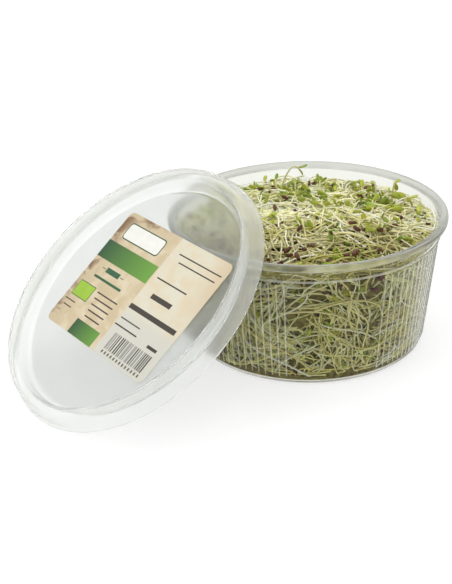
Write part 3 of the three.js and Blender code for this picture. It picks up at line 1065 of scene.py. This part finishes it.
class SPROUT_OT_heap_core(bpy.types.Operator):
    """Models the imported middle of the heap, which shows only as shade between the stems"""
    bl_idname = "sprout.heap_core"
    bl_label = "Heap's core"

    def execute(self, context):
        settings = context.scene.sprout_plants
        floor = FLOOR_TOP + CLEARANCE + 0.05
        side = 4.6 + CLEARANCE
        blank = 60.0
        rings = [(r, blank) for r in range(50, 0, -2)]
        corner = inner_radius(3)
        profile = [(0, floor), (corner - 1.3, floor), (corner - 0.75, 2.0), (corner - 0.5, 2.9),
                   (corner - 1.4, 4.2), (inner_radius(8) - side, 8), (inner_radius(43) - side, 43),
                   *rings, (0, blank)]
        obj = turn_profile(profile, 120)
        for vertex in obj.data.vertices:
            x, y, z = (c / MM for c in vertex.co)
            if z > 46:
                lump = 0.5 * math.sin(x * 0.9) * math.sin(y * 0.8 + 1) + 0.4 * math.sin(x * 1.7 + y * 1.3)
                vertex.co.z = (core_top(x, y) - 3.0 - 1.2 * front_share(y) + lump) * MM
        smooth(obj, 60)
        core = heap_shade("heap_shade", settings.core_colour)
        # Painted shade: the core's upper faces take a darker copy of its colour, so the gaps between the
        # stems on top look deep.
        depth = heap_shade("heap_deep_shade", mixed((0, 0, 0), settings.core_colour, 0.45))
        settle(obj, "heap_core", (core, depth), "sprout_heap")
        # Upward faces high on the core get the darker painted shade.
        for face in obj.data.polygons:
            face.material_index = 1 if face.normal.z > 0.5 and face.center.z > 40 * MM else 0
        return {"FINISHED"}


class SPROUT_OT_heap_top(bpy.types.Operator):
    """Models the tangle on top of the heap: stems, seed leaves and hulls"""
    bl_idname = "sprout.heap_top"
    bl_label = "Top of the heap"

    def execute(self, context):
        settings = context.scene.sprout_plants
        harvest = Harvest(settings, TOP_SEED, TOP_GAIN, FRONT_SHADE)
        self.add_solid_stems(harvest)
        self.add_loose_stems(harvest, settings)
        run = harvest.run
        for _ in range(settings.top_leaves):
            x, y = run.spot(reach_radius(HEAP_EDGE, 3.4))
            if run.next() <= min(1.0, max(0.25, 0.4 + (0.4 * x + y) / 50)):
                head = Vector((x, y, core_top(x, y) + run.between(2.4, 5.2) + edge_rise(x, y)))
                harvest.add_leaves(head, random_way(run), run.between(1.4, 2.5))
        for _ in range(settings.risers):
            points = riser_route(run)
            harvest.add_stem(points, run.between(0.28, 0.38), 0.5)
            harvest.add_leaves(*stem_end(points), run.between(1.5, 2.4))
        for _ in range(settings.top_hulls):
            x, y = run.spot(51)
            middle = (x, y, core_top(x, y) + run.between(2.8, 5.4))
            harvest.add_hull(middle, random_way(run), random_way(run))
        harvest.settle_heap("top")
        return {"FINISHED"}

    def add_solid_stems(self, harvest):
        """The stems and leaves that the solid heap has, from its own seed."""
        cad = Run(CAD_SEED)
        for _ in range(CAD_TOP_STEMS):
            headed = cad.next() < HEAD_SHARE
            points = top_route(cad, 0.64, 3.6) if headed else top_route(cad, 1, 0.75)
            harvest.add_stem(points, CAD_GIRTH, 0.5 if headed else 0.15)
            random_way(cad)
            if headed:
                harvest.add_leaves(*stem_end(points), 2.0)

    def add_loose_stems(self, harvest, settings):
        """Bundles of finer stems, fewer at the front, and long pale ones that curl over them."""
        run = harvest.run
        for i in range(settings.top_stems):
            if i % settings.clump == 0:
                clump = top_clump(run)
                paleness = max(0.0, run.between(-1.5, 1))
            points = loose_top_route(run, clump)
            girth = run.between(0.24, 0.44)
            greenness = run.next() ** 2
            if run.next() > 0.55 * front_share(points[6][1]):
                harvest.add_stem(points, girth, greenness, paleness)
        for _ in range(settings.loops):
            harvest.add_stem(loop_route(run), run.between(0.38, 0.52), 0.05, run.between(0.5, 1))


class SPROUT_OT_heap_side(bpy.types.Operator):
    """Models what shows through the wall: stems, leaves and hulls pressed against the plastic"""
    bl_idname = "sprout.heap_side"
    bl_label = "Side of the heap"

    def execute(self, context):
        settings = context.scene.sprout_plants
        # Painted light: the stems behind the wall get the higher side gain.
        harvest = Harvest(settings, SIDE_SEED, SIDE_PAINTED_LIGHT)
        run = harvest.run
        for _ in range(CAD_SIDE_STEMS):
            harvest.add_stem(side_route(run), CAD_GIRTH, 0.2)
        for i in range(settings.side_stems):
            if i % settings.clump == 0:
                clump = side_clump(run)
                paleness = max(0.0, run.between(-1, 1))
            points = loose_side_route(run, clump)
            harvest.add_stem(points, run.between(0.24, 0.44), run.next() ** 2, paleness)
        for _ in range(settings.side_leaves):
            middle, out = self.at_wall(run, 1.2)
            way = Vector((-out.y, out.x, run.between(-1.5, 1.5)))
            harvest.add_leaves(middle, way, run.between(1.3, 1.9))
        for _ in range(settings.side_hulls):
            middle, out = self.at_wall(run, 1.2)
            harvest.add_hull(middle, Vector((-out.y, out.x, run.between(-1, 1))), out)
        self.keep_inside(harvest)
        harvest.settle_heap("side")
        return {"FINISHED"}

    def at_wall(self, run, half):
        """A place just behind the wall and the way out from it."""
        out = Vector((*polar(1, run.bearing()), 0))
        z = run.between(4, heap_top(*(out.xy * 52)) - 2)
        middle = out * (reach_radius(z, half) - run.next() * 1.2)
        middle.z = z
        return middle, out

    def keep_inside(self, harvest):
        """Moves each leaf that would reach through the wall back behind it."""
        for i, (middle, turn) in enumerate(harvest.leaves):
            far = np.hypot(middle[0], middle[1])
            out = np.array([middle[0], middle[1], 0]) / far
            reach = reach_radius(middle[2], np.abs(out @ turn).max() + 0.2)
            harvest.leaves[i] = (middle - out * max(0, far - reach), turn)


class SPROUT_OT_standing(bpy.types.Operator):
    """Models the sprouts that stand clear of the heap, one piece each"""
    bl_idname = "sprout.standing"
    bl_label = "Standing sprouts"

    def execute(self, context):
        settings = context.scene.sprout_plants
        leaf = base_seed(12, 8, leaf_shape)
        hull = base_seed(10, 8, hull_shape)
        for i, sprout in enumerate(STANDING):
            harvest = Harvest(settings, STANDING_SEED + 17 * i)
            points = smooth_points(standing_route(*sprout), 24)
            harvest.add_stem(points, 0.42, 0.35)
            head, way = stem_end(points)
            harvest.leaves = leaf_pair(head, way, Vector((0, 0, 1)), 2.1, 0.62)
            stem = stems_mesh(harvest.stems, sides=8)
            ripe = harvest.run.between(0.4, 1)
            tip = mixed(settings.leaf_yellow, settings.leaf_green, ripe)
            harvest.leaf_tints = [(mixed(tip, settings.leaf_yellow, 0.5), tip)] * 2
            leaves = copies_mesh(leaf, harvest.leaves, harvest.leaf_tints)
            obj = join_all([stem, leaves])
            name = f"sprout_{i + 1:02d}"
            settle(obj, f"standing_{name}", leaf_tissue(), name)
            if i % 3 == 1:
                harvest.add_hull(head + way.normalized() * 1.4, way, Vector((0, 0, 1)))
                cap = copies_mesh(hull, harvest.hulls)
                settle(cap, f"standing_hull_{i + 1:02d}", seed_hull(settings), None)
        return {"FINISHED"}


# Stage

def add_light(name, place, size, power):
    """A soft round light that faces the middle of the object."""
    deselect_all()
    bpy.ops.object.light_add(type="AREA", location=place)
    light = bpy.context.object
    light.name = name
    light.data.shape = "DISK"
    light.data.size = size
    light.data.energy = power
    way = Vector(LIT_PLACE) - Vector(place)
    light.rotation_euler = way.to_track_quat("-Z", "Y").to_euler()


class SPROUT_OT_stage(bpy.types.Operator):
    """Sets the pale floor, soft studio light and the camera"""
    bl_idname = "sprout.stage"
    bl_label = "Stage"

    def execute(self, context):
        settings = context.scene.sprout_stage
        deselect_all()
        bpy.ops.mesh.primitive_plane_add(size=8, location=(0, 0, -0.0001))
        floor = context.object
        apply_place(floor)
        floor.name = "floor"
        material, tree, shader = new_material("pale_floor")
        set_inputs(tree, shader, {
            "Base Color": [FLOOR_GREY] * 3, "Roughness": 0.9, "Specular IOR Level": 0.1,
            "Emission Color": (1, 1, 1), "Emission Strength": FLOOR_GLOW})
        floor.data.materials.append(material)
        world = bpy.data.worlds.new("studio")
        world.use_nodes = True
        background = world.node_tree.nodes["Background"]
        background.inputs["Color"].default_value = (1, 1, 1, 1)
        background.inputs["Strength"].default_value = WORLD_LIGHT
        context.scene.world = world
        add_light("key_light", (-0.45, -0.25, 0.85), 0.5, 1.8)
        add_light("top_light", (0.15, 0.30, 0.95), 0.6, 1.6)
        self.add_camera(context, settings)
        context.scene.view_settings.view_transform = "Standard"
        return {"FINISHED"}

    def add_camera(self, context, settings):
        deselect_all()
        bpy.ops.object.camera_add()
        camera = context.object
        camera.name = "photo_camera"
        place = Vector((settings.camera_side, -settings.camera_distance, settings.camera_height))
        pitch = Matrix.Rotation(math.pi / 2 - settings.camera_pitch, 4, "X")
        roll = Matrix.Rotation(settings.camera_roll, 4, "Z")
        camera.matrix_world = Matrix.Translation(place) @ pitch @ roll
        camera.data.lens = settings.lens
        camera.data.clip_start = 0.01
        context.scene.camera = camera


class SPROUT_PT_panel(bpy.types.Panel):
    """Lists the pieces in the sidebar"""
    bl_idname = "SPROUT_PT_panel"
    bl_label = "Tub of sprouts"
    bl_space_type = "VIEW_3D"
    bl_region_type = "UI"
    bl_category = "Sprouts"

    def draw(self, context):
        for operator in OPERATORS:
            self.layout.operator(operator.bl_idname)


SETTINGS = {
    "sprout_tub": TubSettings,
    "sprout_lid": LidSettings,
    "sprout_label": LabelSettings,
    "sprout_plants": SproutSettings,
    "sprout_stage": StageSettings,
}
OPERATORS = (
    SPROUT_OT_stage,
    SPROUT_OT_tub,
    SPROUT_OT_lid,
    SPROUT_OT_label,
    SPROUT_OT_heap_core,
    SPROUT_OT_heap_top,
    SPROUT_OT_heap_side,
    SPROUT_OT_standing,
)


def register():
    for name, group in SETTINGS.items():
        bpy.utils.register_class(group)
        setattr(bpy.types.Scene, name, PointerProperty(type=group))
    for operator in OPERATORS:
        bpy.utils.register_class(operator)
    bpy.utils.register_class(SPROUT_PT_panel)


def unregister():
    bpy.utils.unregister_class(SPROUT_PT_panel)
    for operator in reversed(OPERATORS):
        bpy.utils.unregister_class(operator)
    for name, group in SETTINGS.items():
        delattr(bpy.types.Scene, name)
        bpy.utils.unregister_class(group)


def main():
    register()
    bpy.ops.sprout.stage()
    bpy.ops.sprout.tub()
    bpy.ops.sprout.lid()
    bpy.ops.sprout.label()
    bpy.ops.sprout.heap_core()
    bpy.ops.sprout.heap_top()
    bpy.ops.sprout.heap_side()
    bpy.ops.sprout.standing()


if __name__ == "__main__":
    main()
